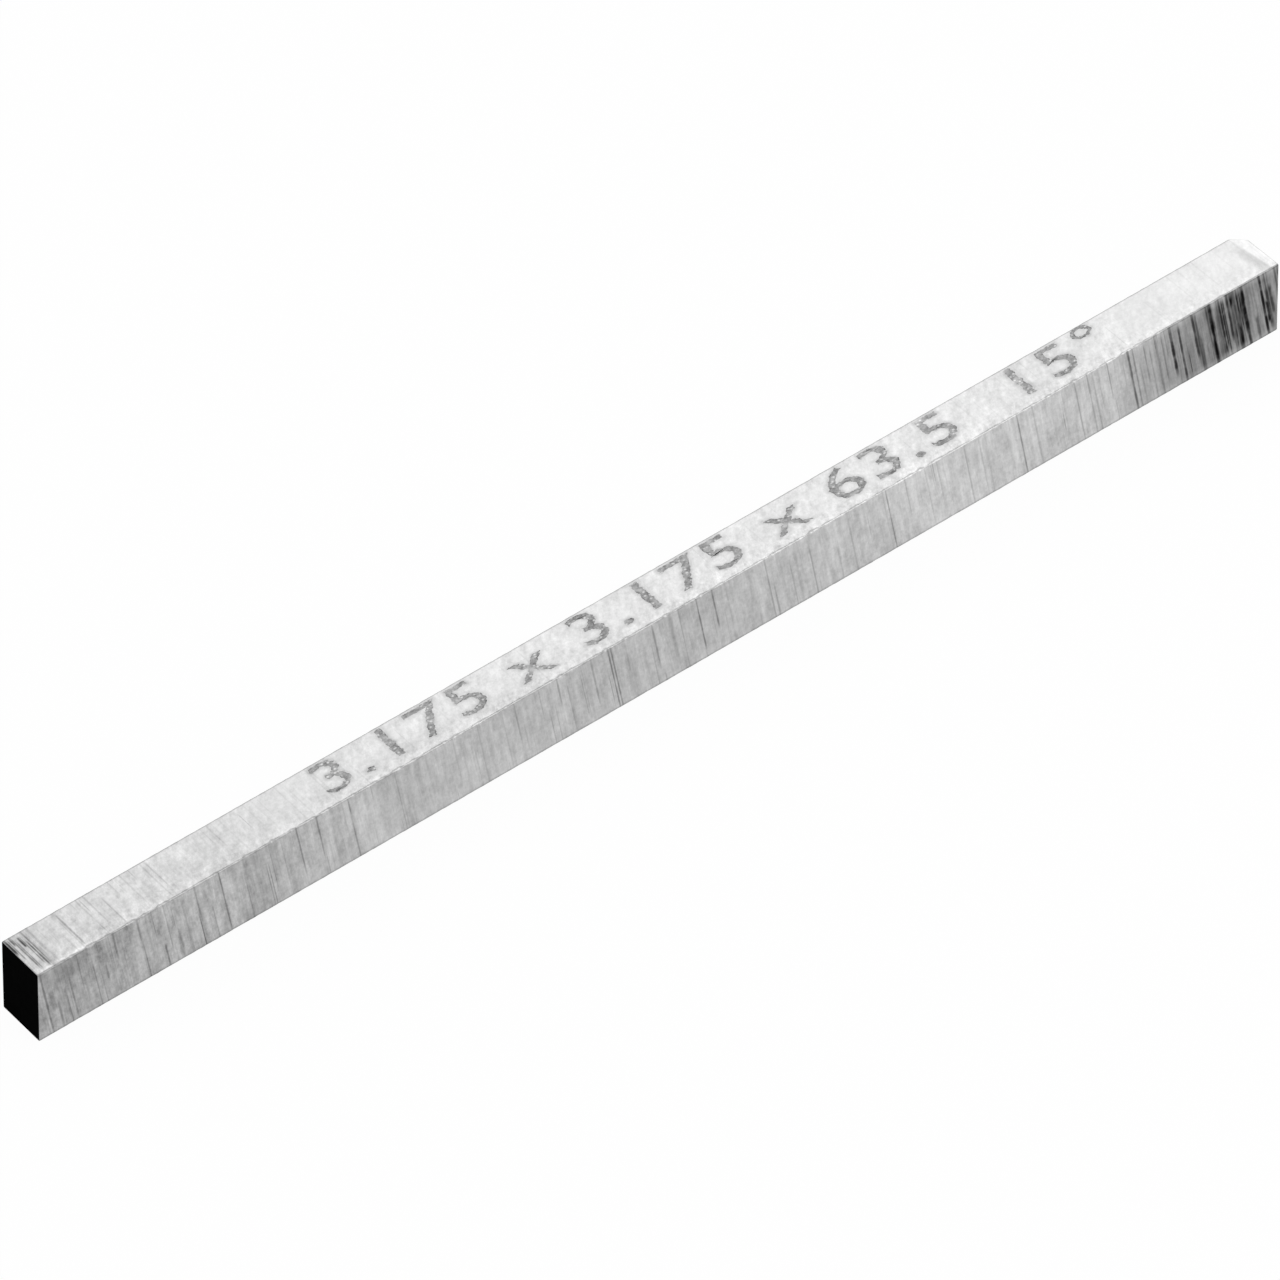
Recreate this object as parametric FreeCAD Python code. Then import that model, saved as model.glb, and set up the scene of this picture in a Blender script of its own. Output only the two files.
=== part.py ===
# Square tool bit: one bar of high-speed steel, ground square along its length and cut off on a
# parallel slant at both ends.
#
# Frame, in millimetres: X runs along the bar, Y across it and Z up. The bar lies on its lower
# ground face, and the origin is at the middle of that face.

import FreeCAD, Part
import math
import os

# Section and length
SIDE = 3.175  # across opposite ground faces, the same both ways
EDGE_LENGTH = 63.5  # one long edge, from one slanted end to the other
END_SLANT = 15.0  # degrees that each end leans away from a square cut, both the same way

# Broken edges
LONG_EDGE_RADIUS = 0.08  # round on the four long edges
END_EDGE_RADIUS = 0.04  # round on the edges about each end and about the clipped corner

# Corner ground off where the right-hand end meets the back face
CLIP_ALONG = 0.58  # taken off the back face, along the bar
CLIP_ACROSS = 0.70  # taken off the end, across the bar

# Worked out from the sizes above
TOP_SHIFT = SIDE * math.tan(math.radians(END_SLANT))  # how far the top face stands to the right
OVERALL_LENGTH = EDGE_LENGTH + TOP_SHIFT
LEFT_TIP = -OVERALL_LENGTH / 2
RIGHT_TIP = OVERALL_LENGTH / 2


def slanted_bar():
    """The sharp-edged bar: its side outline, a parallelogram, carried across the width."""
    front = -SIDE / 2
    corners = [
        FreeCAD.Vector(LEFT_TIP, front, 0),
        FreeCAD.Vector(RIGHT_TIP - TOP_SHIFT, front, 0),
        FreeCAD.Vector(RIGHT_TIP, front, SIDE),
        FreeCAD.Vector(LEFT_TIP + TOP_SHIFT, front, SIDE),
    ]
    outline = Part.Face(Part.makePolygon(corners + corners[:1]))
    return outline.extrude(FreeCAD.Vector(0, SIDE, 0))


def clip_right_back_corner(bar):
    """Take the corner off along the whole slanted edge between the right end and the back."""
    foot = FreeCAD.Vector(RIGHT_TIP - TOP_SHIFT, SIDE / 2, 0)
    along = FreeCAD.Vector(CLIP_ALONG, 0, 0)
    across = FreeCAD.Vector(0, CLIP_ACROSS, 0)
    past_back_face = foot - along * 2 + across
    past_end = foot + along - across * 2
    outside_corner = foot + along * 2 + across * 2
    wedge_corners = [past_back_face, past_end, outside_corner, past_back_face]
    wedge_face = Part.Face(Part.makePolygon(wedge_corners))
    up_the_slant = FreeCAD.Vector(TOP_SHIFT, 0, SIDE)
    wedge_face.translate(up_the_slant * -1)
    wedge = wedge_face.extrude(up_the_slant * 3)
    return bar.cut(wedge).Solids[0]


def runs_along_bar(edge):
    """True for the four long edges."""
    start = edge.Vertexes[0].Point
    end = edge.Vertexes[-1].Point
    return abs(end.x - start.x) > EDGE_LENGTH / 2


def tool_bit():
    """The finished bar, its long edges rounded more than the edges of its ends."""
    bar = clip_right_back_corner(slanted_bar())
    long_edges = [edge for edge in bar.Edges if runs_along_bar(edge)]
    bar = bar.makeFillet(LONG_EDGE_RADIUS, long_edges)
    end_edges = [edge for edge in bar.Edges if not runs_along_bar(edge)]
    return bar.makeFillet(END_EDGE_RADIUS, end_edges)


os.makedirs("parts", exist_ok=True)
shape = tool_bit()
shape.exportStep("parts/tool_bit.step")
box = shape.optimalBoundingBox()
print("tool_bit:", len(shape.Solids), "solid,", len(shape.Faces), "faces, valid:", shape.isValid())
print("box from", round(box.XMin, 3), round(box.YMin, 3), round(box.ZMin, 3))
print("box to", round(box.XMax, 3), round(box.YMax, 3), round(box.ZMax, 3))
print("volume", round(shape.Volume, 3), "cubic millimetres")
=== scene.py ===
import math
from collections import namedtuple

import bmesh
import bpy
from mathutils import Matrix, Quaternion, Vector, kdtree, noise


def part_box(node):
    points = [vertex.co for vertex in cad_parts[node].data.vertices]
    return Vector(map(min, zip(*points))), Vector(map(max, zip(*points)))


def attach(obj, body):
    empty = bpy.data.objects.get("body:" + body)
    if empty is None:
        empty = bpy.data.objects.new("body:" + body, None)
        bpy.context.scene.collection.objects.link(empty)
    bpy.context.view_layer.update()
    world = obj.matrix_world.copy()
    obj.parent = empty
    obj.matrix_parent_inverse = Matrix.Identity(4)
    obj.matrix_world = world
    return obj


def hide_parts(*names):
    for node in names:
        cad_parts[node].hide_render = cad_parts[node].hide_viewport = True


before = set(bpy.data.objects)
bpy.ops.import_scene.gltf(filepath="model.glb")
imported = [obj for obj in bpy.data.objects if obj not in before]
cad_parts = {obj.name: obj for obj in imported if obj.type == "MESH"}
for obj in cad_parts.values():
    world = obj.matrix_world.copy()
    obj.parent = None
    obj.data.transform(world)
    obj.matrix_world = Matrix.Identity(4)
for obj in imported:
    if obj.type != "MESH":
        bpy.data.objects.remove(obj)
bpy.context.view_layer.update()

# Lengths are in millimetres, and MM brings them to metres.
MM = 0.001
TO_METRES = Matrix.Scale(MM, 4)

# The bar, from the frame. X runs along it, Y across it and Z up, from the face it lies on.
bar_low, bar_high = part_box("tool_bit")
SIDE = (bar_high.z - bar_low.z) / MM
HALF = SIDE / 2
END_SLANT = 15  # degrees that both ends lean to the right
SLOPE = math.tan(math.radians(END_SLANT))  # how far they lean for each millimetre of height
EDGE_LENGTH = 63.5
HALF_LENGTH = EDGE_LENGTH / 2

# Edges and corner of the bar
LONG_EDGE_RADIUS = 0.08
END_EDGE_WIDTH = 0.053
CLIP_ALONG = 0.58
CLIP_ACROSS = 0.70

# Wear of the long edges. It starts a little way in from each end. The handled edge, between the
# top and the front, has all of it and the other three a share. The least wear is the sharpest
# that an edge gets, as a share of its rounding on the solid.
WEAR_STARTS = 0.7
WEAR_FADES_IN = 0.5
HANDLED_WEAR = 1.0
OTHER_WEAR = 0.2
LEAST_WEAR = 0.4

# How finely the bar is cut: along it between its two end zones, and across the marked zone
END_ZONE = 0.6
CUTS_ALONG = 800
CUTS_ACROSS = 24

# Plain figures marked on the top face: the bar's size in millimetres and the slant of its ends
FIGURES = "3.175 x 3.175 x 63.5  15°"
FIGURE_HEIGHT = 2.47
FIGURE_SPACING = 1.1
FIGURES_LEFT = -16.2
FIGURES_RIGHT = 24.0
FIGURES_FOOT = -0.93  # across the bar, from the middle
FIGURE_RAGGEDNESS = 0.09
RAGGED_PER_MM = 4.5
MARKED_MARGIN = 1.0  # beyond the figures at each end
MARK_DEPTH = 0.006
SMUDGE_WIDTH = 0.20

# The strokes of the figures, against the size of the font
STROKE_THINNING = 0.016
STROKE_SLOPE = 0.022
STROKE_RISE = 0.2  # of the mark's depth, by which a stroke's rim stands over the top face

# Rough grinding that runs out towards one end of a face
UPRIGHT_ROUGH_LENGTH = 10.0
LEVEL_ROUGH_LENGTH = 1.8

# Tones of the bare steel and of the near-black ends, from 0 to 1
STEEL_TONE = 0.5
END_TONE = 0.0022

# How far the grinding marks lean on the upright faces, for each millimetre of height
MARK_LEAN = 0.055

# The scratches that show most, and a few broad dull bands. Place is along the bar, middle and
# reach are across the face.
Scratch = namedtuple("Scratch", "place width depth middle reach", defaults=(0.0, 3.0))
FRONT_SCRATCHES = (
    Scratch(-31.33, 0.08, 0.48), Scratch(-31.02, 0.20, 0.28, 0.0, 0.6),
    Scratch(-30.80, 0.08, 0.32, -0.8, 0.9), Scratch(-30.76, 0.22, 0.26, 0.9, 0.7),
    Scratch(-30.40, 0.07, 0.26, -0.5, 0.9), Scratch(-30.10, 1.60, 0.30, 1.5, 1.1),
    Scratch(-30.07, 0.07, 0.36, 0.1, 1.9), Scratch(-29.35, 0.10, 0.24, 1.2, 0.6),
    Scratch(-28.33, 0.07, 0.36, -0.1, 0.5), Scratch(-27.70, 0.08, 0.45, 1.1, 1.1),
    Scratch(-26.50, 0.07, 0.32, 0.9, 0.7), Scratch(-25.50, 0.07, 0.50, -0.95, 0.7),
    Scratch(-24.80, 0.15, 0.24, -0.9, 0.7), Scratch(-22.40, 0.06, 0.42, 0.2, 2.2),
    Scratch(-20.60, 1.60, 0.10), Scratch(-20.10, 0.05, 0.42, -0.5, 1.4),
    Scratch(-17.50, 0.06, 0.35, 0.6, 1.5), Scratch(-15.90, 0.05, 0.38, 1.2, 0.5),
    Scratch(-13.55, 0.04, 0.20), Scratch(-5.32, 0.06, 0.34, 0.9, 0.9),
    Scratch(-4.90, 0.06, 0.22, -0.2, 1.6), Scratch(-4.20, 0.05, 0.24, 0.0, 1.2),
    Scratch(-3.60, 0.06, 0.26, 0.6, 1.7), Scratch(-2.71, 0.055, 0.50), Scratch(-2.57, 0.055, 0.45),
    Scratch(-1.90, 0.12, 0.14, 0.4, 1.9), Scratch(-0.47, 0.07, 0.38, 0.8, 1.8),
    Scratch(0.42, 0.17, 0.20, 0.6, 2.0), Scratch(1.80, 0.06, 0.50, 0.5, 2.0),
    Scratch(2.20, 2.40, 0.07), Scratch(2.60, 0.07, 0.50, 0.7, 1.4), Scratch(5.30, 0.06, 0.30),
    Scratch(5.52, 0.06, 0.30, -0.9, 1.2), Scratch(6.75, 0.12, 0.16, -0.2, 1.6),
    Scratch(8.80, 0.06, 0.20, -0.7, 1.0), Scratch(11.55, 0.045, 0.45), Scratch(15.60, 0.05, 0.20),
    Scratch(18.35, 0.06, 0.48), Scratch(21.35, 0.05, 0.26), Scratch(22.00, 0.06, 0.30),
    Scratch(24.13, 0.08, 0.66), Scratch(24.36, 0.06, 0.36), Scratch(24.62, 0.07, 0.24, -0.6, 1.2),
    Scratch(24.93, 0.06, 0.36, 0.4, 1.2), Scratch(25.18, 0.05, 0.28, -0.3, 1.8),
    Scratch(25.53, 0.09, 0.36), Scratch(25.83, 0.06, 0.38, 0.3, 1.6),
    Scratch(26.02, 0.05, 0.30, 0.9, 0.9), Scratch(26.30, 0.13, 0.92, 0.6, 1.9),
    Scratch(26.72, 0.09, 0.80, -0.2, 1.9), Scratch(27.47, 0.10, 0.82, 0.5, 1.6),
    Scratch(27.62, 0.08, 0.56, 0.6, 1.2), Scratch(27.68, 0.16, 0.46, -0.8, 1.4),
    Scratch(28.36, 0.13, 0.99), Scratch(28.36, 0.18, 0.97, 1.0, 1.1),
    Scratch(28.72, 0.24, 0.55, -0.1, 1.6), Scratch(28.78, 0.10, 0.72, -0.9, 0.8),
    Scratch(28.86, 0.10, 0.90, 0.2, 2.0), Scratch(28.98, 0.08, 0.90, 0.2, 1.6),
    Scratch(29.06, 0.07, 0.80, 0.0, 1.8), Scratch(29.27, 0.10, 0.84, 0.6, 1.8),
    Scratch(29.60, 0.08, 0.62), Scratch(30.05, 0.17, 0.94, 0.1, 1.2), Scratch(30.07, 0.12, 0.97),
    Scratch(30.55, 0.12, 0.60, -1.0, 0.8), Scratch(31.00, 0.11, 0.97),
    Scratch(31.16, 0.13, 0.95, -0.4, 0.7), Scratch(31.24, 0.14, 0.72, -0.3, 1.3),
    Scratch(31.42, 0.13, 0.74, 0.1, 0.9), Scratch(31.80, 0.10, 0.62, 0.8, 1.1),
)
TOP_SCRATCHES = (
    Scratch(-31.25, 0.08, 0.88, 1.3, 1.3), Scratch(-31.15, 0.05, 0.50, 0.6, 1.1),
    Scratch(-31.03, 0.08, 0.72, 1.5, 0.8), Scratch(-30.97, 0.06, 0.56, 0.3, 1.8),
    Scratch(-30.89, 0.05, 0.46, -0.1, 1.4), Scratch(-30.73, 0.08, 0.84, 0.85, 0.5),
    Scratch(-30.66, 0.05, 0.50, 0.1, 1.4), Scratch(-30.55, 0.06, 0.66, -0.3, 1.2),
    Scratch(-30.45, 0.04, 0.34, 0.2, 1.2), Scratch(-30.20, 0.08, 0.20, 0.5, 1.3),
    Scratch(-28.80, 0.07, 0.36, 0.0, 1.6), Scratch(-27.70, 0.05, 0.16),
    Scratch(-26.80, 0.05, 0.20, -0.4, 1.4), Scratch(-24.50, 0.06, 0.16),
    Scratch(-24.27, 0.05, 0.24, 0.3, 1.3), Scratch(-21.00, 4.00, 0.05, -0.8, 1.8),
    Scratch(-7.00, 12.0, 0.07, -1.5, 1.3), Scratch(21.00, 5.00, 0.06),
)


# Camera and studio

CAMERA_PLACE = Vector((-186.84, -478.24, 399.29)) * MM
CAMERA_TARGET = Vector((-0.553, -0.231, 1.588)) * MM
CAMERA_ROLL = math.radians(-16.42)
CAMERA_LENS = 428.6

# The floor lies a hair below the bar, so that the two don't share a plane
FLOOR_GAP = 0.01


def make_camera():
    data = bpy.data.cameras.new("camera")
    data.sensor_width = 36
    data.lens = CAMERA_LENS
    camera = bpy.data.objects.new("camera", data)
    aim = (CAMERA_TARGET - CAMERA_PLACE).to_track_quat("-Z", "Y")
    camera.rotation_mode = "QUATERNION"
    camera.rotation_quaternion = aim @ Quaternion((0, 0, 1), CAMERA_ROLL)
    camera.location = CAMERA_PLACE
    bpy.context.collection.objects.link(camera)
    bpy.context.scene.camera = camera


def add_softbox(name, place, width, height, power):
    """A soft rectangular lamp that faces the bar. Its place and size are in metres."""
    data = bpy.data.lights.new(name, "AREA")
    data.shape = "RECTANGLE"
    data.size = width
    data.size_y = height
    data.energy = power
    lamp = bpy.data.objects.new(name, data)
    lamp.location = place
    lamp.rotation_mode = "QUATERNION"
    lamp.rotation_quaternion = (-lamp.location).to_track_quat("-Z", "Y")
    lamp.visible_camera = False
    bpy.context.collection.objects.link(lamp)


def make_lights():
    add_softbox("back_softbox", (0.24, 0.44, 0.38), 0.50, 0.40, 0.60)
    add_softbox("front_softbox", (0.17, -0.37, 0.45), 0.35, 0.35, 0.60)


# Node trees


class Sheet:
    """Short calls for the nodes of one tree. A value is a number, a tuple or a node's output."""

    def __init__(self, tree):
        self.tree = tree

    def feed(self, socket, value):
        if isinstance(value, bpy.types.NodeSocket):
            self.tree.links.new(value, socket)
        else:
            socket.default_value = value

    def add(self, kind, inputs=None, **settings):
        node = self.tree.nodes.new(kind)
        for name, value in settings.items():
            setattr(node, name, value)
        for name, value in (inputs or {}).items():
            self.feed(node.inputs[name], value)
        return node

    def math(self, operation, *values):
        node = self.add("ShaderNodeMath", operation=operation)
        for socket, value in zip(node.inputs, values):
            self.feed(socket, value)
        return node.outputs[0]

    def total(self, *values):
        result = values[0]
        for value in values[1:]:
            result = self.math("ADD", result, value)
        return result

    def less(self, value, amount):
        return self.math("SUBTRACT", value, amount)

    def product(self, *values):
        result = values[0]
        for value in values[1:]:
            result = self.math("MULTIPLY", result, value)
        return result

    def larger(self, *values):
        result = values[0]
        for value in values[1:]:
            result = self.math("MAXIMUM", result, value)
        return result

    def one_less(self, value):
        return self.less(1.0, value)

    def size_of(self, value):
        return self.math("ABSOLUTE", value)

    def above(self, value, limit):
        """1 where the value is above the limit, otherwise 0."""
        return self.math("GREATER_THAN", value, limit)

    def ramp(self, value, start, end, low=0.0, high=1.0):
        """From low at start to high at end, smoothly, and flat beyond them."""
        node = self.add("ShaderNodeMapRange", interpolation_type="SMOOTHSTEP")
        names = ("Value", "From Min", "From Max", "To Min", "To Max")
        for name, setting in zip(names, (value, start, end, low, high)):
            self.feed(node.inputs[name], setting)
        return node.outputs[0]

    def vector(self, x=0.0, y=0.0, z=0.0):
        return self.add("ShaderNodeCombineXYZ", {"X": x, "Y": y, "Z": z}).outputs[0]

    def noise(self, x, y, z, detail=0.0, roughness=0.5):
        """Smooth noise from 0 to 1, with features about one unit across."""
        node = self.add("ShaderNodeTexNoise", {
            "Vector": self.vector(x, y, z), "Scale": 1.0, "Detail": detail,
            "Roughness": roughness})
        return node.outputs[0]

    def centred(self, value):
        return self.product(self.less(value, 0.5), 2.0)

    def grey(self, value):
        node = self.add("ShaderNodeCombineColor", {"Red": value, "Green": value, "Blue": value})
        return node.outputs[0]

    def group(self, tree, **inputs):
        node = self.add("ShaderNodeGroup", node_tree=tree)
        for name, value in inputs.items():
            self.feed(node.inputs[name], value)
        return node.outputs


def new_group(name, inputs, outputs):
    """A group with float sockets: its tree, its sheet, its given inputs and its results."""
    tree = bpy.data.node_groups.new(name, "ShaderNodeTree")
    for socket in inputs:
        tree.interface.new_socket(name=socket, in_out="INPUT", socket_type="NodeSocketFloat")
    for socket in outputs:
        tree.interface.new_socket(name=socket, in_out="OUTPUT", socket_type="NodeSocketFloat")
    sheet = Sheet(tree)
    given = sheet.add("NodeGroupInput").outputs
    results = sheet.add("NodeGroupOutput").inputs
    return tree, sheet, given, results


def make_grinding_marks():
    """The marks of a grinding wheel, from -1 (dark) to 1 (light). Streaks go from 0 to 1 (dark).

    Along is the distance across the marks and Across the distance along them. Slant leans the
    flecks away from the marks.
    """
    tree, s, given, results = new_group(
        "grinding_marks", ("Along", "Across", "Slant", "Seed"),
        ("Lines", "Bands", "Flecks", "Streaks"))
    along, across, seed = given["Along"], given["Across"], given["Seed"]

    def stretched(per_mm, lengthwise, shift, detail, roughness=0.5):
        return s.noise(s.product(along, per_mm), s.product(across, lengthwise),
                       s.total(seed, shift), detail, roughness)

    s.feed(results["Lines"], s.centred(stretched(2.6, 0.17, 0.0, 4.0, 0.75)))
    s.feed(results["Bands"], s.centred(stretched(0.5, 0.12, 23.7, 2.0, 0.6)))
    slanted = s.less(s.product(along, 3.0), s.product(across, given["Slant"]))
    s.feed(results["Flecks"], s.centred(
        s.noise(slanted, s.product(across, 1.0), s.total(seed, 11.3), 3.0, 0.7)))
    wide = s.ramp(stretched(1.5, 0.05, 31.2, 1.0), 0.44, 0.60)
    narrow = s.ramp(stretched(6.0, 0.28, 37.9, 3.0, 0.65), 0.40, 0.60)
    broken = s.ramp(stretched(2.2, 0.9, 43.3, 2.0), 0.30, 0.62)
    s.feed(results["Streaks"], s.total(
        s.product(wide, 0.35), s.product(narrow, 0.25), s.product(wide, narrow, broken, 0.40)))
    return tree


def make_mottle():
    """Cloudy spots and fine grain, from -1 to 1."""
    tree, s, given, results = new_group("mottle", ("X", "Y", "Z"), ("Clouds", "Grain"))

    def even(per_mm, shift, roughness):
        return s.noise(s.product(given["X"], per_mm), s.product(given["Y"], per_mm),
                       s.total(s.product(given["Z"], per_mm), shift), 3.0, roughness)

    s.feed(results["Clouds"], s.centred(even(1.0, 3.0, 0.6)))
    s.feed(results["Grain"], s.centred(even(4.5, 17.0, 0.8)))
    return tree


def make_deep_scratch():
    """One straight scratch. Uneven, about 1, makes it narrower where it is larger."""
    tree, s, given, results = new_group(
        "deep_scratch", ("Along", "Across", "Uneven", "Place", "Width", "Depth", "Middle", "Reach"),
        ("Mask",))
    offset = s.size_of(s.less(given["Along"], given["Place"]))
    from_line = s.product(s.math("DIVIDE", offset, given["Width"]), given["Uneven"])
    line = s.ramp(from_line, 0.25, 1.0, 1.0, 0.0)
    from_middle = s.size_of(s.less(given["Across"], given["Middle"]))
    span = s.ramp(s.math("DIVIDE", from_middle, given["Reach"]), 0.6, 1.0, 1.0, 0.0)
    s.feed(results["Mask"], s.product(line, span, given["Depth"]))
    return tree


def make_scattered_scratches():
    """Thin straight scratches of uneven place, length and depth, one in each space."""
    tree, s, given, results = new_group(
        "scattered_scratches", ("Along", "Across", "Spacing", "Seed"), ("Mask",))
    spaces = s.math("DIVIDE", given["Along"], given["Spacing"])
    index = s.math("FLOOR", spaces)
    chance = s.add("ShaderNodeTexWhiteNoise", {
        "Vector": s.vector(index, given["Seed"])}, noise_dimensions="2D")
    parts = s.add("ShaderNodeSeparateColor", {"Color": chance.outputs["Color"]}).outputs
    place = s.ramp(parts["Red"], 0.0, 1.0, 0.2, 0.8)
    offset = s.product(s.size_of(s.less(s.less(spaces, index), place)), given["Spacing"])
    width = s.ramp(parts["Green"], 0.0, 1.0, 0.025, 0.06)
    line = s.ramp(s.math("DIVIDE", offset, width), 0.25, 1.0, 1.0, 0.0)
    middle = s.product(s.centred(parts["Blue"]), HALF)
    reach = s.ramp(parts["Green"], 0.0, 1.0, 0.6, 2.6)
    from_middle = s.math("DIVIDE", s.size_of(s.less(given["Across"], middle)), reach)
    span = s.ramp(from_middle, 0.4, 1.0, 1.0, 0.0)
    depth = s.math("POWER", chance.outputs["Value"], 2.0)
    s.feed(results["Mask"], s.product(line, span, depth))
    return tree


def new_material(name):
    material = bpy.data.materials.new(name)
    material.use_nodes = True
    material.node_tree.nodes.clear()
    sheet = Sheet(material.node_tree)
    output = sheet.add("ShaderNodeOutputMaterial")
    return material, sheet, output.inputs["Surface"]


def place_in_mm(s):
    """X, Y and Z of the surface point, in millimetres."""
    scaled = s.add("ShaderNodeVectorMath", operation="SCALE")
    s.feed(scaled.inputs[0], s.add("ShaderNodeTexCoord").outputs["Object"])
    scaled.inputs["Scale"].default_value = 1 / MM
    split = s.add("ShaderNodeSeparateXYZ", {"Vector": scaled.outputs[0]})
    return split.outputs


Point = namedtuple("Point", "x y z rise along across crossing from_edge inside seed "
                            "level upright top bottom front on_end")


def find_point(s):
    """Where a surface point lies on the bar, and 1 or 0 for each face that it may be on.

    Along is the distance from the slanted section at the middle of the bar, across goes across
    the face, and crossing is where the grinding mark through the point meets the face's middle.
    """
    x, y, z = place_in_mm(s)
    rise = s.less(z, HALF)
    along = s.less(x, s.product(rise, SLOPE))
    level = s.product(s.above(s.size_of(rise), s.size_of(y)),
                      s.above(s.size_of(rise), HALF - LONG_EDGE_RADIUS - 0.01))
    upright = s.one_less(level)
    top = s.product(level, s.above(rise, 0.0))
    back = s.product(upright, s.above(y, 0.0))
    front = s.less(upright, back)
    across = s.total(s.product(level, y), s.product(upright, rise))
    from_edge = s.less(HALF, s.math("MINIMUM", s.size_of(y), s.size_of(rise)))
    return Point(
        x=x, y=y, z=z, rise=rise, along=along, across=across,
        crossing=s.total(x, s.product(across, upright, -MARK_LEAN)),
        from_edge=from_edge, inside=s.ramp(from_edge, 0.05, 0.42, 0.68, 1.0),
        # each face was ground by itself, so its marks don't carry on round the edge
        seed=s.total(s.product(top, 40.0), s.product(back, 80.0), s.product(front, 120.0)),
        level=level, upright=upright, top=top, bottom=s.less(level, top), front=front,
        on_end=s.ramp(s.size_of(along), HALF_LENGTH - 0.02, HALF_LENGTH - 0.008))


def ground_tone(s, point, marks, spots):
    """Lighter and darker grinding, about 0, and the contrast of its lines.

    The marks are strongest at the left, and stronger on the upright faces than on the level ones.
    The top is mottled along its handled edge and round the figures.
    """
    near_left = s.ramp(point.along, -HALF_LENGTH + 6, -HALF_LENGTH + 18, 1.0, 0.0)
    line_contrast = s.total(s.product(point.upright, 0.70), s.product(near_left, 0.58), 0.28)
    round_figures = s.product(s.ramp(point.along, FIGURES_LEFT - 2, FIGURES_LEFT),
                              s.ramp(point.along, FIGURES_RIGHT + 1, FIGURES_RIGHT))
    mottled = s.product(point.top, s.total(s.product(s.ramp(point.y, -0.5, -1.3), 0.40),
                                           s.product(round_figures, 0.30)))
    fleck_contrast = s.total(s.product(point.upright, 0.35), s.product(near_left, 0.48),
                             mottled, 0.55)
    lines = s.total(s.product(marks["Lines"], 0.40), s.product(marks["Bands"], 0.20))
    flecks = s.total(s.product(marks["Flecks"], 0.34), s.product(spots["Clouds"], 0.15),
                     s.product(spots["Grain"], 0.30))
    tone = s.total(s.product(lines, line_contrast), s.product(flecks, fleck_contrast))
    return tone, line_contrast


def rough_end(s, point, marks):
    """The rough grinding towards one end of each face: how far in, 1 at the end, and how dark."""
    toward_end = s.product(point.along, s.centred(s.total(point.front, point.bottom)))
    length = s.total(s.product(point.upright, UPRIGHT_ROUGH_LENGTH),
                     s.product(point.level, LEVEL_ROUGH_LENGTH))
    depth_in = s.math("DIVIDE", s.total(s.less(toward_end, HALF_LENGTH), length), length)
    streaks = s.total(s.product(marks["Streaks"], s.less(0.54, s.product(point.top, 0.10))),
                      s.product(s.one_less(point.top), 0.45))
    return depth_in, s.product(s.ramp(depth_in, 0.05, 0.62), point.inside, streaks)


def fine_scratches(s, point, scattered_scratches, line_contrast, depth_in):
    """Scattered scratches, deeper where the rough grinding starts."""
    fine = s.group(scattered_scratches, Along=point.crossing, Across=point.across,
                   Spacing=0.31, Seed=point.seed)
    sparse = s.group(scattered_scratches, Along=point.crossing, Across=point.across,
                     Spacing=1.3, Seed=s.total(point.seed, 7.0))
    return s.product(
        s.larger(s.product(fine["Mask"], 0.22), s.product(sparse["Mask"], 0.45)),
        s.total(line_contrast, s.product(point.upright, s.ramp(depth_in, 0.0, 0.35))))


def listed_scratches(s, point, deep_scratch, scratches):
    """The depth of the listed scratch at a point, from 0 to 1, or 0 where there is none."""
    patches = s.noise(s.product(point.crossing, 2.0), s.product(point.across, 1.6), 5.0, 2.0)
    uneven = s.ramp(patches, 0.3, 0.7, 1.25, 0.88)
    fading = s.ramp(patches, 0.3, 0.55, 0.7, 1.0)
    deepest = 0.0
    for scratch in scratches:
        found = s.group(deep_scratch, Along=point.crossing, Across=point.across, Uneven=uneven,
                        Place=scratch.place, Width=scratch.width, Depth=scratch.depth,
                        Middle=scratch.middle, Reach=scratch.reach)
        deepest = s.larger(deepest, found["Mask"])
    return s.product(deepest, fading)


def deep_scratches(s, point, deep_scratch):
    """The listed scratches of the front and the top, which fade out towards the long edges."""
    return s.product(point.inside, s.larger(
        s.product(listed_scratches(s, point, deep_scratch, FRONT_SCRATCHES), point.front),
        s.product(listed_scratches(s, point, deep_scratch, TOP_SCRATCHES), point.top)))


def face_brightness(s, point):
    """A tone for each face, about 1: darker towards the left and a little lighter towards the right.
    """
    left = -HALF_LENGTH
    return s.total(
        s.product(point.upright, s.ramp(point.along, left, left + 17, 0.78, 1.02)),
        s.product(point.upright, s.ramp(point.along, 5.0, 13.0, 0.0, 0.12)),
        s.product(point.level, s.ramp(point.along, left, left + 26, 0.84, 0.96)),
        s.product(point.level, s.ramp(point.along, 0.0, 25.0, 0.0, 0.03)))


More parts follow.
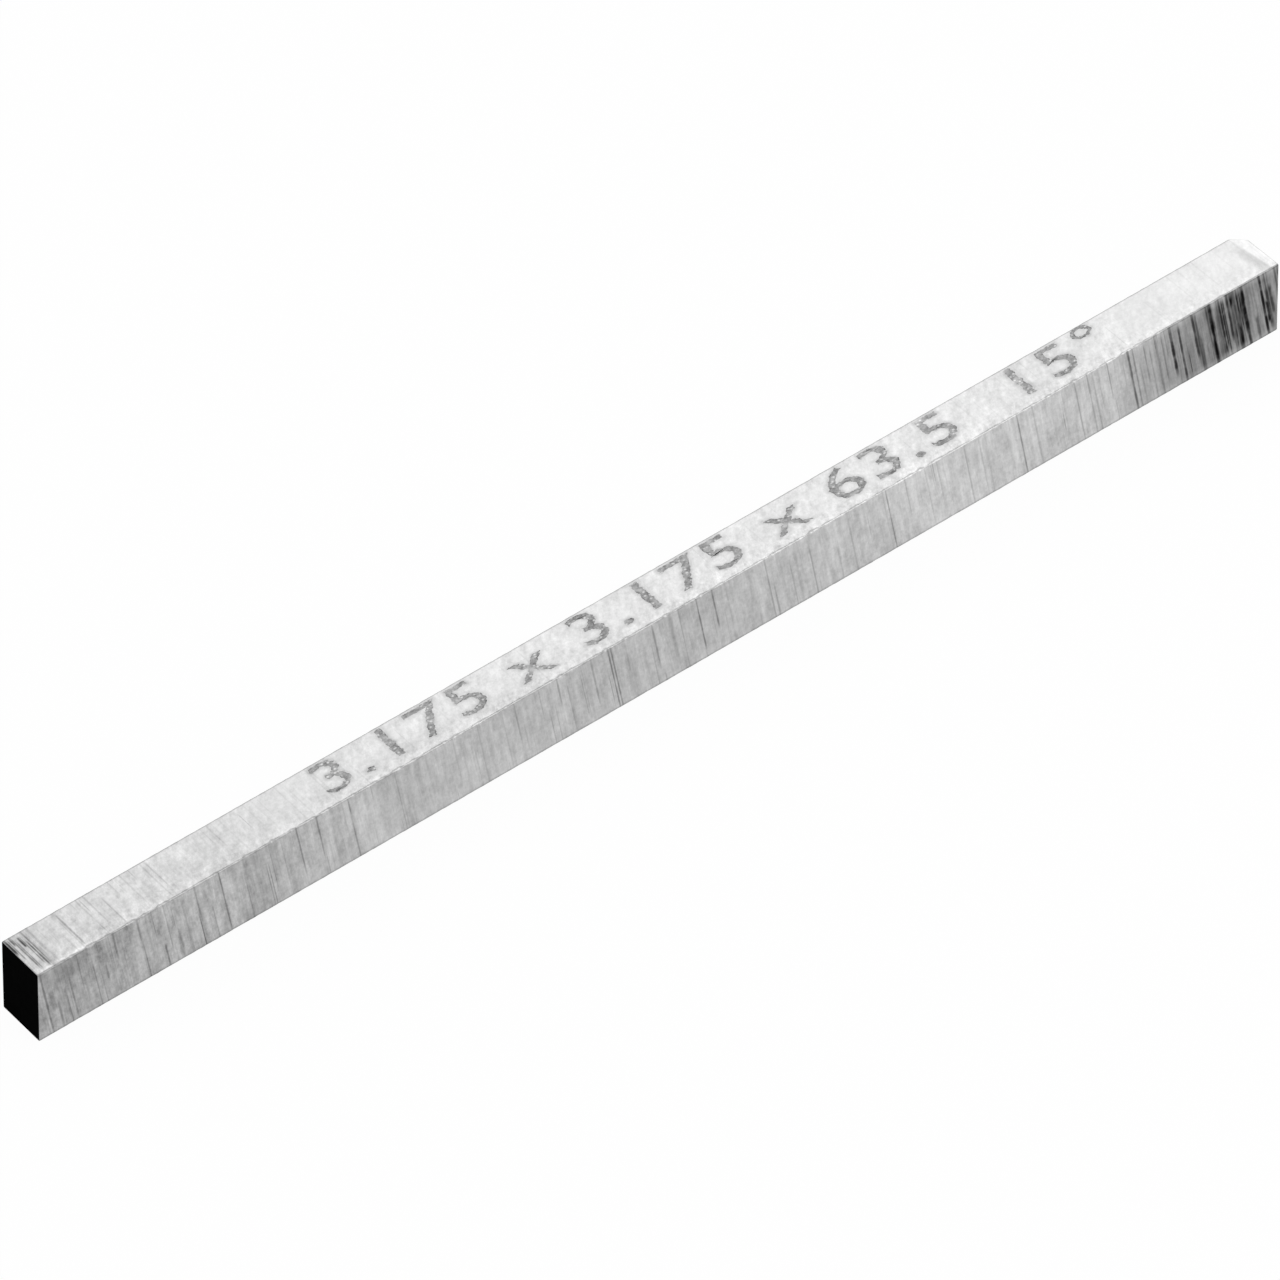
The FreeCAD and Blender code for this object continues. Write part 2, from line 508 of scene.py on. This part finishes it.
def long_edge_painted_light(s, point):
    """Painted shade on the worn long edges, patchy along the handled one, and a painted highlight on
    a rubbed patch inside its left end.
    """
    from_edge = point.from_edge
    edge_shade_zone = s.ramp(from_edge, 0.15, 0.06)
    on_rounding = s.ramp(from_edge, LONG_EDGE_RADIUS + 0.02, LONG_EDGE_RADIUS - 0.02)
    patchy = s.ramp(s.noise(s.product(point.x, 1.6), s.product(point.y, 3.0), 0.0, 3.0, 0.7),
                    0.42, 0.66)
    upper = s.above(point.rise, 0.0)
    nearer = s.above(0.0, point.y)
    handled_top = s.product(point.top, nearer)
    handled_edge = s.product(upper, nearer)
    # painted shade beside the three long edges that are not the handled one
    other_edges_painted_shade = s.product(edge_shade_zone, s.one_less(handled_edge),
                       s.total(0.35, s.product(upper, patchy, 0.10)))
    # painted shade over the rounding of the handled edge, which the lamps would light brighter than
    # the faces beside it, with more of it at the right-hand end
    handled = s.product(on_rounding, handled_edge,
                        s.total(0.20, s.product(patchy, -0.16),
                                s.ramp(point.along, -2.0, 6.0, 0.0, -0.10),
                                s.ramp(point.along, 24.0, 26.0, 0.0, 0.24)))
    # a painted highlight on a rubbed patch of the top, by the handled edge's left end
    rub_painted_highlight = s.product(handled_top, s.ramp(point.along, -29.3, -28.5, 1.0, 0.0),
                    s.ramp(from_edge, 0.05, 0.12), s.ramp(from_edge, 0.30, 0.18))
    return s.less(s.product(rub_painted_highlight, s.total(s.product(patchy, 0.20), 0.10)), s.total(other_edges_painted_shade, handled))


def right_end_painted_light(s, point):
    """A painted highlight in a narrow strip where the right-hand end meets the top, and painted shade
    in a patch beside it.
    """
    past_strip = s.total(s.less(point.along, 31.30), s.product(point.y, 0.088))
    painted_highlight_strip = s.product(point.top, s.ramp(past_strip, -0.03, 0.03))
    painted_shade_patch = s.product(point.top, s.ramp(past_strip, -0.60, -0.30),
                      s.ramp(past_strip, -0.01, -0.09), s.ramp(point.y, 1.1, 0.0))
    return s.less(s.product(painted_highlight_strip, 0.12), s.product(painted_shade_patch, 0.16))


def smudge(s, marks):
    """Where the marking fluid has crept out round the figures."""
    near_figure = s.add("ShaderNodeAttribute", attribute_name="near_figure").outputs["Fac"]
    return s.product(near_figure, s.ramp(marks["Flecks"], -0.35, 0.40, 0.02, 0.38))


def make_ground_steel(grinding_marks, mottle, deep_scratch, scattered_scratches):
    """Ground steel on the long faces and near-black ends."""
    material, s, surface = new_material("bar_steel")
    point = find_point(s)
    marks = s.group(grinding_marks, Along=point.crossing, Across=point.across,
                    Slant=s.total(point.level, 0.2), Seed=point.seed)
    spots = s.group(mottle, X=point.x, Y=point.y, Z=point.z)
    tone, line_contrast = ground_tone(s, point, marks, spots)
    depth_in, darkened = rough_end(s, point, marks)
    scratched = fine_scratches(s, point, scattered_scratches, line_contrast, depth_in)
    deepest = deep_scratches(s, point, deep_scratch)

    # The steel's tone, with painted shade and painted highlights along the long edges and at the
    # right-hand end
    steel = s.product(
        s.total(1.0, tone), face_brightness(s, point), s.one_less(scratched), s.one_less(darkened),
        s.one_less(deepest), s.one_less(smudge(s, marks)), s.total(1.0, long_edge_painted_light(s, point)),
        s.total(1.0, right_end_painted_light(s, point)), STEEL_TONE)
    # The ends: near black, with faint grain, not metallic and without reflection
    scale = s.total(s.product(spots["Grain"], 0.0012), s.product(marks["Flecks"], 0.0008), END_TONE)
    bare = s.one_less(point.on_end)

    cut_into = s.larger(scratched, s.product(darkened, 0.6))
    height = s.total(s.product(marks["Lines"], 0.6), s.product(marks["Flecks"], 0.4),
                     s.product(spots["Grain"], 0.2), s.product(cut_into, -1.5))
    bump = s.add("ShaderNodeBump", {"Strength": 0.35, "Distance": 0.004 * MM, "Height": height})
    shader = s.add("ShaderNodeBsdfPrincipled", {
        "Base Color": s.grey(s.total(s.product(steel, bare), s.product(scale, point.on_end))),
        "Metallic": bare,
        "Roughness": s.total(0.37, s.product(marks["Lines"], 0.08), s.product(point.on_end, 0.3),
                             s.product(s.larger(cut_into, deepest), 0.12)),
        "Specular IOR Level": 0.0,
        "Normal": bump.outputs[0],
    })
    s.feed(surface, shader.outputs[0])
    return material


def make_etched_mark(grinding_marks, mottle):
    """The grey bottom of the marked figures: dark along their rims, with paler dots inside."""
    material, s, surface = new_material("etched_mark")
    x, y, z = place_in_mm(s)
    marks = s.group(grinding_marks, Along=x, Across=y, Slant=1.2, Seed=40.0)
    spots = s.group(mottle, X=x, Y=y, Z=z)
    rim = s.ramp(z, SIDE - MARK_DEPTH, SIDE)
    cells = s.add("ShaderNodeTexVoronoi", {"Vector": s.vector(x, y, 0.0), "Scale": 4.5})
    dots = s.ramp(cells.outputs["Distance"], 0.10, 0.40, 1.0, 0.0)
    faint = s.ramp(s.noise(s.product(x, 1.1), s.product(y, 1.1), 61.0, 2.0), 0.45, 0.75)
    beads = s.ramp(s.noise(s.product(x, 4.2), s.product(y, 4.2), 83.0, 1.0), 0.35, 0.60)
    ragged = s.noise(s.product(x, 6.0), s.product(y, 6.0), 71.0, 2.0, 0.6)
    missed = s.ramp(s.total(s.product(rim, 0.8), s.product(s.centred(ragged), 1.6),
                            s.product(faint, 0.25)), 0.60, 0.95)
    marked = s.total(0.24, s.product(dots, s.one_less(rim), 0.24), s.product(faint, 0.10),
                     s.product(rim, beads, -0.13), s.product(spots["Grain"], 0.32),
                     s.product(marks["Flecks"], 0.12))
    value = s.total(s.product(marked, s.one_less(missed)), s.product(missed, 0.47))
    height = s.total(dots, s.product(spots["Grain"], 0.6))
    bump = s.add("ShaderNodeBump", {"Strength": 0.5, "Distance": 0.006 * MM, "Height": height})
    shader = s.add("ShaderNodeBsdfPrincipled", {
        "Base Color": s.grey(value),
        "Metallic": 1.0,
        "Roughness": s.total(0.5, s.product(spots["Grain"], 0.1)),
        "Normal": bump.outputs[0],
    })
    s.feed(surface, shader.outputs[0])
    return material


def sees_studio(s):
    """1 for the camera, reflections and refractions, 0 for the light that falls on a surface."""
    rays = s.add("ShaderNodeLightPath").outputs
    return s.larger(rays["Is Camera Ray"], rays["Is Glossy Ray"], rays["Is Transmission Ray"])


def make_floor_white():
    """White paper, clear from below, so that the underside of the bar can be seen."""
    material, s, surface = new_material("floor_white")
    paper = s.add("ShaderNodeBsdfDiffuse", {"Color": (0.95, 0.95, 0.95, 1)})
    white = s.add("ShaderNodeEmission", {"Color": (1, 1, 1, 1), "Strength": 1.0})
    blend = s.add("ShaderNodeMixShader", {"Fac": s.product(sees_studio(s), 0.95)})
    s.feed(blend.inputs[1], paper.outputs[0])
    s.feed(blend.inputs[2], white.outputs[0])
    from_below = s.add("ShaderNodeNewGeometry").outputs["Backfacing"]
    floor = s.add("ShaderNodeMixShader", {"Fac": from_below})
    s.feed(floor.inputs[1], blend.outputs[0])
    s.feed(floor.inputs[2], s.add("ShaderNodeBsdfTransparent").outputs[0])
    s.feed(surface, floor.outputs[0])
    return material


def make_world():
    world = bpy.data.worlds.new("studio")
    world.use_nodes = True
    world.node_tree.nodes.clear()
    s = Sheet(world.node_tree)
    strength = s.total(s.product(sees_studio(s), 0.25), 0.75)
    light = s.add("ShaderNodeBackground", {"Color": (1, 1, 1, 1), "Strength": strength})
    output = s.add("ShaderNodeOutputWorld")
    s.feed(output.inputs["Surface"], light.outputs[0])
    bpy.context.scene.world = world


def make_floor():
    mesh = bpy.data.meshes.new("floor")
    shape = bmesh.new()
    bmesh.ops.create_grid(shape, x_segments=1, y_segments=1, size=1.5)
    shape.to_mesh(mesh)
    shape.free()
    mesh.materials.append(make_floor_white())
    floor = bpy.data.objects.new("floor", mesh)
    floor.location.z = -FLOOR_GAP * MM
    bpy.context.collection.objects.link(floor)


# The bar


def everything(shape):
    return shape.verts[:] + shape.edges[:] + shape.faces[:]


def long_edges(shape):
    return [edge for edge in shape.edges
            if abs(edge.verts[0].co.x - edge.verts[1].co.x) > HALF_LENGTH]


def clip_right_back_corner(shape):
    """Grind off the upright corner between the right-hand end and the back face."""
    foot = Vector((HALF_LENGTH - SLOPE * HALF, HALF, 0))
    cut_line = Vector((CLIP_ALONG, -CLIP_ACROSS, 0))
    outward = Vector((SLOPE, 0, 1)).cross(cut_line).normalized()
    bmesh.ops.bisect_plane(shape, geom=everything(shape), clear_outer=True,
                           plane_co=foot - Vector((CLIP_ALONG, 0, 0)), plane_no=outward)
    open_edges = [edge for edge in shape.edges if edge.is_boundary]
    bmesh.ops.holes_fill(shape, edges=open_edges)


def round_edges(shape, edges, width, segments):
    return bmesh.ops.bevel(shape, geom=edges, offset=width, offset_type="OFFSET",
                           segments=segments, profile=0.5, affect="EDGES", material=-1)["faces"]


def wear_at(x, edge_seed):
    """How round a long edge is worn at one place, against its radius on the solid."""
    slow = noise.noise(Vector((x * 0.4, edge_seed, 0.0)))
    short = noise.noise(Vector((x * 1.7, edge_seed, 5.0)))
    fine = noise.noise(Vector((x * 3.9, edge_seed, 15.0)))
    nick = max(0.0, noise.noise(Vector((x * 1.1, edge_seed, 9.0))) - 0.25)
    return max(LEAST_WEAR, 1.2 + 0.5 * slow + 1.3 * short + 1.3 * fine + 2.2 * nick)


def wear_long_edges(shape):
    """Make the rounding of each long edge wider and narrower along the bar."""
    corner_zone = HALF - LONG_EDGE_RADIUS * 1.01
    for vert in shape.verts:
        x, y, rise = vert.co.x, vert.co.y, vert.co.z - HALF
        from_end = HALF_LENGTH - abs(x - rise * SLOPE)
        if abs(y) < corner_zone or abs(rise) < corner_zone or from_end < WEAR_STARTS:
            continue
        edge_seed = 3.0 * math.copysign(1, y) + 7.0 * math.copysign(1, rise)
        share = HANDLED_WEAR if rise > 0 > y else OTHER_WEAR
        settled = min(1.0, (from_end - WEAR_STARTS) / WEAR_FADES_IN) * share
        wear = 1 + (wear_at(x, edge_seed) - 1) * settled
        vert.co.y = math.copysign(HALF - (HALF - abs(y)) * wear, y)
        vert.co.z = HALF + math.copysign(HALF - (HALF - abs(rise)) * wear, rise)


def in_marked_zone(x):
    return FIGURES_LEFT - MARKED_MARGIN < x < FIGURES_RIGHT + MARKED_MARGIN


def cut_marked_zone(shape):
    """Cut the top face finely where the figures go, so that it stays flat when roughened."""
    across = [edge for edge in shape.edges
              if min(vert.co.z for vert in edge.verts) > SIDE - 1e-4
              and abs(edge.verts[0].co.y - edge.verts[1].co.y) > HALF
              and in_marked_zone(edge.verts[0].co.x)]
    bmesh.ops.subdivide_edges(shape, edges=across, cuts=CUTS_ACROSS, use_grid_fill=True)


def make_bar_mesh():
    """The ground bar: a slanted block with one clipped corner and worn edges."""
    shape = bmesh.new()
    bmesh.ops.create_cube(shape, size=1)
    bmesh.ops.scale(shape, vec=(EDGE_LENGTH, SIDE, SIDE), verts=shape.verts)
    slant = Matrix.Identity(4)
    slant[0][2] = SLOPE
    bmesh.ops.transform(shape, matrix=Matrix.Translation((0, 0, HALF)) @ slant, verts=shape.verts)
    clip_right_back_corner(shape)
    for face in round_edges(shape, long_edges(shape), LONG_EDGE_RADIUS, 6):
        face.smooth = True
    along_bar = set(long_edges(shape))
    round_edges(shape, [edge for edge in shape.edges if edge not in along_bar], END_EDGE_WIDTH, 2)
    for side in (-1, 1):
        bmesh.ops.bisect_plane(shape, geom=everything(shape), plane_no=Vector((1, 0, -SLOPE)),
                               plane_co=Vector((side * (HALF_LENGTH - END_ZONE), 0, HALF)))
    bmesh.ops.subdivide_edges(shape, edges=long_edges(shape), cuts=CUTS_ALONG, use_grid_fill=True)
    wear_long_edges(shape)
    cut_marked_zone(shape)
    mesh = bpy.data.meshes.new("ground_bar")
    shape.to_mesh(mesh)
    shape.free()
    return mesh


def shape_strokes(shape):
    """Set the heights of the figures' solids, so that their strokes slope in from the top face.

    The solids come with their bottoms at the lowest level and the rims of their strokes above
    them. Their long level edges are then cut, so that they can be roughened.
    """
    bottom_level = -(STROKE_SLOPE + MARK_DEPTH)
    between = (bottom_level - MARK_DEPTH) / 2
    for vert in shape.verts:
        if vert.co.z < between:
            vert.co.z = -MARK_DEPTH
        elif vert.co.z < 0:
            vert.co.z = MARK_DEPTH * STROKE_RISE
        else:
            vert.co.z += MARK_DEPTH
    for cuts, longest in ((4, 0.6), (2, 0.15)):
        level_edges = [edge for edge in shape.edges
                       if edge.calc_length() > longest
                       and abs(edge.verts[0].co.z - edge.verts[1].co.z) < 1e-5]
        bmesh.ops.subdivide_edges(shape, edges=level_edges, cuts=cuts)


def roughen_figures(mesh):
    """Break up the outlines of the figures, as marking through a stencil leaves them."""
    shape = bmesh.new()
    shape.from_mesh(mesh)
    edge_zone = HALF - LONG_EDGE_RADIUS
    for vert in shape.verts:
        x, y, z = vert.co
        if z < SIDE - MARK_DEPTH * 1.5 or abs(y) > edge_zone or not in_marked_zone(x):
            continue
        from_end = min(x - FIGURES_LEFT, FIGURES_RIGHT - x) + MARKED_MARGIN
        amount = FIGURE_RAGGEDNESS * min(1.0, (edge_zone - abs(y)) / 0.3, from_end / 0.5)
        place = Vector((x, y, 0.0)) * RAGGED_PER_MM
        vert.co.x += noise.noise(place) * amount
        vert.co.y += noise.noise(place + Vector((0, 0, 9.0))) * amount
    shape.to_mesh(mesh)
    shape.free()


def smudge_figures(mesh, etched):
    """Note on each point how near a figure it is, from 1 on the figure to 0 beyond the smudge."""
    marked = set()
    for face in mesh.polygons:
        if mesh.materials[face.material_index] == etched:
            marked.update(face.vertices)
    tree = kdtree.KDTree(len(marked))
    for index in marked:
        tree.insert(mesh.vertices[index].co, index)
    tree.balance()
    near = mesh.attributes.new("near_figure", "FLOAT", "POINT")
    for vert in mesh.vertices:
        distance = tree.find(vert.co)[2]
        near.data[vert.index].value = max(0.0, 1 - distance / SMUDGE_WIDTH)


def make_figures_mesh():
    """The figures as closed solids, standing through the top face by the depth of the mark."""
    text = bpy.data.curves.new("figures", "FONT")
    text.body = FIGURES
    text.space_character = FIGURE_SPACING
    text.offset = -STROKE_THINNING
    text.bevel_depth = STROKE_SLOPE
    text.bevel_resolution = 0
    text.extrude = MARK_DEPTH
    text.resolution_u = 6
    holder = bpy.data.objects.new("figures", text)
    bpy.context.collection.objects.link(holder)
    bpy.context.view_layer.update()
    mesh = bpy.data.meshes.new_from_object(holder)
    bpy.data.objects.remove(holder)
    shape = bmesh.new()
    shape.from_mesh(mesh)
    bmesh.ops.remove_doubles(shape, verts=shape.verts, dist=1e-5)
    left = min(vert.co.x for vert in shape.verts)
    right = max(vert.co.x for vert in shape.verts)
    foot = min(vert.co.y for vert in shape.verts)
    head = max(vert.co.y for vert in shape.verts)
    middle = Vector(((left + right) / 2, foot, 0))
    bmesh.ops.translate(shape, vec=-middle, verts=shape.verts)
    bmesh.ops.scale(shape, verts=shape.verts,
                    vec=((FIGURES_RIGHT - FIGURES_LEFT) / (right - left),
                         FIGURE_HEIGHT / (head - foot), 1))
    shape_strokes(shape)
    place = Vector(((FIGURES_LEFT + FIGURES_RIGHT) / 2, FIGURES_FOOT, SIDE))
    bmesh.ops.translate(shape, vec=place, verts=shape.verts)
    shape.to_mesh(mesh)
    shape.free()
    return mesh


def make_bar(steel, etched):
    """The finished bar, with the figures sunk into its top face."""
    bar = bpy.data.objects.new("ground_bar", make_bar_mesh())
    cutter = bpy.data.objects.new("figures", make_figures_mesh())
    bar.data.materials.append(steel)
    cutter.data.materials.clear()
    cutter.data.materials.append(etched)
    for piece in (bar, cutter):
        bpy.context.collection.objects.link(piece)
    sink = bar.modifiers.new("sink_figures", "BOOLEAN")
    sink.operation = "DIFFERENCE"
    sink.solver = "EXACT"
    sink.material_mode = "TRANSFER"
    sink.object = cutter
    bpy.context.view_layer.update()
    ready = bar.evaluated_get(bpy.context.evaluated_depsgraph_get())
    mesh = bpy.data.meshes.new_from_object(ready)
    bar.modifiers.clear()
    bar.data = mesh
    bpy.data.objects.remove(cutter)
    roughen_figures(mesh)
    smudge_figures(mesh, etched)
    mesh.transform(TO_METRES)
    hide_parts("tool_bit")
    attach(bar, "root")


def main():
    bpy.context.scene.view_settings.view_transform = "Standard"
    make_camera()
    make_lights()
    make_world()
    make_floor()
    grinding_marks = make_grinding_marks()
    mottle = make_mottle()
    steel = make_ground_steel(grinding_marks, mottle, make_deep_scratch(),
                              make_scattered_scratches())
    etched = make_etched_mark(grinding_marks, mottle)
    make_bar(steel, etched)


main()
